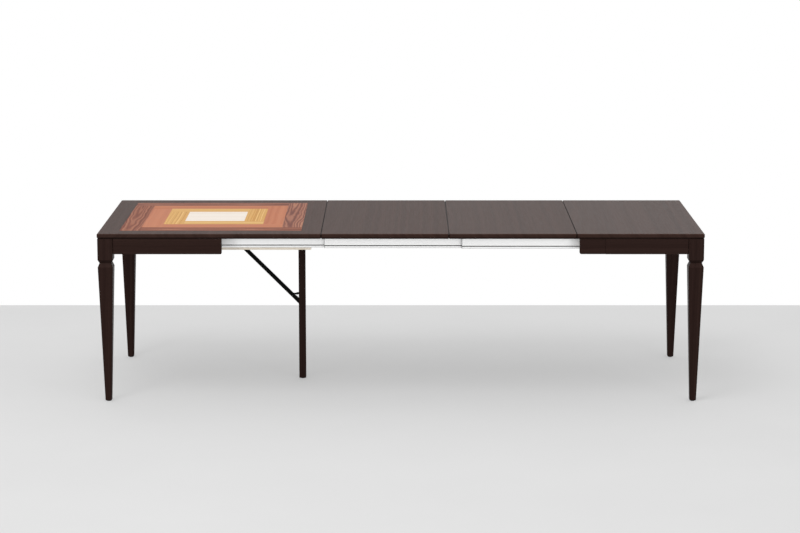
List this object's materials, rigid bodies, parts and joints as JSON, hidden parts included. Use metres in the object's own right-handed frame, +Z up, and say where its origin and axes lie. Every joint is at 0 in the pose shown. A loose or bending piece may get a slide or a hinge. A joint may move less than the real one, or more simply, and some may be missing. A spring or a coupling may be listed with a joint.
{
  "type": "square extending table",
  "caption": "Square dining table with an inlaid top that extends on telescopic guides, with lift-off leaves, tapered legs and a braced folding support leg.",
  "frame": {"origin": "on the floor, under the middle of the extended table", "axes": "+X along the length towards the right half frame, +Y towards the back, +Z up"},
  "size_m": [2.7118, 1, 0.77],
  "materials": {
    "dark_wood": "dark brown stain, satin lacquer",
    "red_wood": "grained red-brown veneer, satin lacquer",
    "salmon_wood": "salmon veneer, satin lacquer",
    "ochre_wood": "ochre veneer, satin lacquer",
    "cream_wood": "cream veneer, satin lacquer",
    "pale_wood": "raw pale hardwood",
    "aluminium": "satin anodised",
    "black_metal": "black powder coat",
    "steel": "zinc plated",
    "black_plastic": "matt"
  },
  "bodies": {
    "main_frame": {"main_top": "dark_wood", "main_top_front_pin": "steel", "main_top_back_pin": "steel", "inlay_outer_band": "red_wood", "inlay_middle_band": "salmon_wood", "inlay_inner_band": "ochre_wood", "inlay_centre": "cream_wood", "front_left_leg": "dark_wood", "back_left_leg": "dark_wood", "front_left_glide": "black_plastic", "back_left_glide": "black_plastic", "front_left_apron": "dark_wood", "back_left_apron": "dark_wood", "left_end_apron": "dark_wood", "front_bearer": "pale_wood", "back_bearer": "pale_wood", "front_fixed_rail": "aluminium", "back_fixed_rail": "aluminium", "leg_cross_rail": "pale_wood", "leg_bracket": "black_metal", "leg_hinge_pin": "steel", "brace_cross_rail": "pale_wood", "brace_bracket": "black_metal", "brace_hinge_pin": "steel"},
    "inner_rails": {"front_inner_rail": "aluminium", "back_inner_rail": "aluminium"},
    "middle_rails": {"front_middle_rail": "aluminium", "back_middle_rail": "aluminium"},
    "outer_rails": {"front_outer_rail": "aluminium", "back_outer_rail": "aluminium"},
    "right_frame": {"front_right_leg": "dark_wood", "back_right_leg": "dark_wood", "front_right_glide": "black_plastic", "back_right_glide": "black_plastic", "front_right_apron": "dark_wood", "back_right_apron": "dark_wood", "right_end_apron": "dark_wood", "front_spacer": "pale_wood", "back_spacer": "pale_wood", "front_carrier_rail": "aluminium", "back_carrier_rail": "aluminium"},
    "first_leaf": {"leaf_1": "dark_wood", "leaf_1_front_pin": "steel", "leaf_1_back_pin": "steel"},
    "second_leaf": {"leaf_2": "dark_wood", "leaf_2_front_pin": "steel", "leaf_2_back_pin": "steel"},
    "third_leaf": {"leaf_3": "dark_wood"},
    "folding_leg": {"support_leg": "dark_wood", "support_glide": "black_plastic", "brace_seat": "black_metal", "latch_lug": "black_metal", "latch_pin": "steel"},
    "brace": {"brace_bar": "black_metal", "catch_stud": "steel"},
    "latch": {"latch_hook": "black_metal"}
  },
  "joints": [
    {"name": "frame_slide", "type": "slide", "parent": "main_frame", "child": "right_frame", "axis": [1, 0, 0], "range_m": [-1.7118, 0]},
    {"name": "inner_rail_slide", "type": "slide", "parent": "main_frame", "child": "inner_rails", "axis": [1, 0, 0], "range_m": [-0.3, 0]},
    {"name": "middle_rail_slide", "type": "slide", "parent": "main_frame", "child": "middle_rails", "axis": [1, 0, 0], "range_m": [-0.983, 0]},
    {"name": "outer_rail_slide", "type": "slide", "parent": "main_frame", "child": "outer_rails", "axis": [1, 0, 0], "range_m": [-1.602, 0]},
    {"name": "first_leaf_lift", "type": "slide", "parent": "main_frame", "child": "first_leaf", "axis": [0, 0, 1], "range_m": [0, 0.25]},
    {"name": "second_leaf_lift", "type": "slide", "parent": "first_leaf", "child": "second_leaf", "axis": [0, 0, 1], "range_m": [0, 0.25]},
    {"name": "third_leaf_lift", "type": "slide", "parent": "second_leaf", "child": "third_leaf", "axis": [0, 0, 1], "range_m": [0, 0.25]},
    {"name": "leg_fold", "type": "hinge", "parent": "main_frame", "child": "folding_leg", "pos_m": [-0.4609, 0, 0.6908], "axis": [0, 1, 0], "range_deg": [0, 90]},
    {"name": "brace_fold", "type": "hinge", "parent": "main_frame", "child": "brace", "pos_m": [-0.8274, 0, 0.7202], "axis": [0, 1, 0], "range_deg": [0, 135]},
    {"name": "latch_lift", "type": "hinge", "parent": "folding_leg", "child": "latch", "pos_m": [-0.4834, 0, 0.4056], "axis": [0, 1, 0], "range_deg": [0, 40]}
  ],
  "couplings": [
    {"joint": "inner_rail_slide", "follows": "frame_slide", "ratio": 0.17523},
    {"joint": "middle_rail_slide", "follows": "frame_slide", "ratio": 0.57418},
    {"joint": "outer_rail_slide", "follows": "frame_slide", "ratio": 0.93575},
    {"joint": "brace_fold", "follows": "leg_fold", "ratio": 1.5}
  ]
}
